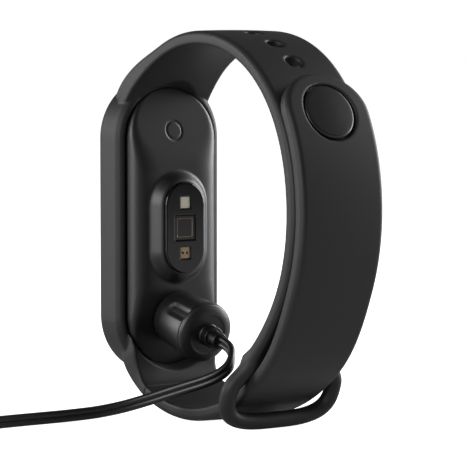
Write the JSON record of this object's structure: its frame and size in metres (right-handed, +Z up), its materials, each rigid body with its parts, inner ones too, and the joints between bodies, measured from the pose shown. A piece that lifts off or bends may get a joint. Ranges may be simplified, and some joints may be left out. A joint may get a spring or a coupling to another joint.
{
  "type": "fitness tracker band",
  "caption": "Closed wrist band holding an oval tracker, with a magnetic charging puck on its back and a coiled cord ending in a plug.",
  "frame": {"origin": "on the floor under the middle of the closed band", "axes": "+X across the band, +Y from the display towards the clasp, +Z up along the tracker"},
  "size_m": [0.0989, 0.065, 0.0624],
  "materials": {
    "silicone": "soft matte black silicone",
    "anodised_aluminium": "black anodised, fine satin",
    "display_glass": "curved black glass",
    "adhesive": "foam adhesive",
    "display": "dark display panel",
    "flex": "polyimide film",
    "housing": "fine-textured black polycarbonate",
    "window": "polished black window",
    "board": "green solder mask",
    "led": "white ceramic with clear cover",
    "photodiode": "dark silicon under clear resin",
    "steel": "plain sheet steel",
    "chips": "moulded epoxy",
    "battery_foil": "aluminium pouch foil",
    "tape": "amber tape",
    "brass": "turned brass",
    "gold": "gold plate",
    "puck_plastic": "satin black plastic",
    "relief": "soft black overmould",
    "cord": "smooth black jacket",
    "plug_steel": "nickel plated sheet",
    "tongue": "white plastic"
  },
  "bodies": {
    "band": {"band_frame": "silicone", "hole_strap": "silicone", "keeper_ring": "silicone", "stud_strap": "silicone"},
    "tip": {"strap_tip": "silicone", "stud_cap": "anodised_aluminium", "stud_post": "anodised_aluminium"},
    "tracker": {"front_glass": "display_glass", "glass_adhesive": "adhesive", "display_panel": "display", "display_flex": "flex", "mid_housing": "housing", "rear_cover": "housing", "sensor_window": "window", "sensor_board": "board", "led_top": "led", "photodiode": "photodiode", "led_bottom": "led", "main_board": "board", "shield_can": "steel", "board_chips": "chips", "battery": "battery_foil", "battery_tape": "tape", "motor_case": "steel", "charge_contacts": "gold", "dock_plates": "steel"},
    "rotor": {"motor_rotor": "brass"},
    "charger": {"puck_shell": "puck_plastic", "puck_cap": "puck_plastic", "puck_face": "puck_plastic", "puck_magnets": "steel", "pin_barrels": "brass", "spring_left": "steel", "spring_right": "steel", "puck_board": "board", "strain_relief": "relief", "cord_lead": "cord", "cord_coil": "cord", "cord_tail": "cord", "plug_grip": "relief", "plug_shell": "plug_steel", "plug_tongue": "tongue", "plug_contacts": "gold"},
    "pin_left": {"pin_left": "gold"},
    "pin_right": {"pin_right": "gold"}
  },
  "joints": [
    {"name": "tip_bend", "type": "hinge", "parent": "band", "child": "tip", "pos_m": [0, 0.0275, 0.0345], "axis": [-1, 0, 0], "range_deg": [0, 50], "stiffness_Nm_per_rad": 0.008},
    {"name": "tracker_out", "type": "slide", "parent": "band", "child": "tracker", "axis": [0, -1, 0], "range_m": [0, 0.016]},
    {"name": "rotor_spin", "type": "hinge", "parent": "tracker", "child": "rotor", "pos_m": [0, -0.0249, 0.0453], "axis": [0, 1, 0], "continuous": true},
    {"name": "charger_off", "type": "slide", "parent": "band", "child": "charger", "axis": [0, 1, 0], "range_m": [0, 0.008]},
    {"name": "pin_left_press", "type": "slide", "parent": "charger", "child": "pin_left", "axis": [0, 0.9744, -0.225], "range_m": [0, 0.0005], "stiffness_N_per_m": 300, "springref_m": -0.0005, "deforming": ["spring_left"]},
    {"name": "pin_right_press", "type": "slide", "parent": "charger", "child": "pin_right", "axis": [0, 0.9744, -0.225], "range_m": [0, 0.0005], "stiffness_N_per_m": 300, "springref_m": -0.0005, "deforming": ["spring_right"]}
  ]
}
